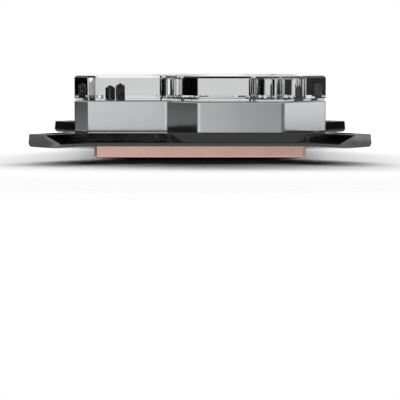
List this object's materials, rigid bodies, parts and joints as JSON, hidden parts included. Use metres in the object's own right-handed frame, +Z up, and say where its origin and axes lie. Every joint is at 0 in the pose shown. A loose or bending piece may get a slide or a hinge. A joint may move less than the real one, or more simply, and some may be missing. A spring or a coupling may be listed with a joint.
{
  "type": "cpu water block",
  "caption": "Liquid cooling block for a processor: copper cold plate under a sloped bracket, plated body frame and clear cover with threaded ports.",
  "frame": {"origin": "centre of the copper contact face", "axes": "+Z up from the contact face through the stack, +X to the right of someone who faces the front, -Y towards them"},
  "size_m": [0.105, 0.0964, 0.0255],
  "materials": {
    "copper": "machined and lightly brushed copper",
    "black_steel": "black coating, semi-gloss",
    "plated_metal": "satin nickel plating",
    "clear_acrylic": "clear polished acrylic",
    "seal_rubber": "black rubber",
    "thin_steel": "thin stainless sheet",
    "moulded_plastic": "black moulded plastic",
    "screw_steel": "stainless steel"
  },
  "bodies": {
    "root": {"cold_plate": "copper", "cold_plate_seal": "seal_rubber", "mounting_bracket": "black_steel", "body_frame": "plated_metal", "jet_plate": "thin_steel", "flow_insert": "moulded_plastic", "cover_seal": "seal_rubber", "top_cover": "clear_acrylic", "cover_screw_1": "screw_steel", "cover_screw_2": "screw_steel", "cover_screw_3": "screw_steel", "cover_screw_4": "screw_steel", "base_screw_1": "screw_steel", "base_screw_2": "screw_steel", "base_screw_3": "screw_steel", "base_screw_4": "screw_steel", "base_screw_5": "screw_steel", "base_screw_6": "screw_steel", "base_screw_7": "screw_steel", "base_screw_8": "screw_steel"}
  },
  "joints": []
}
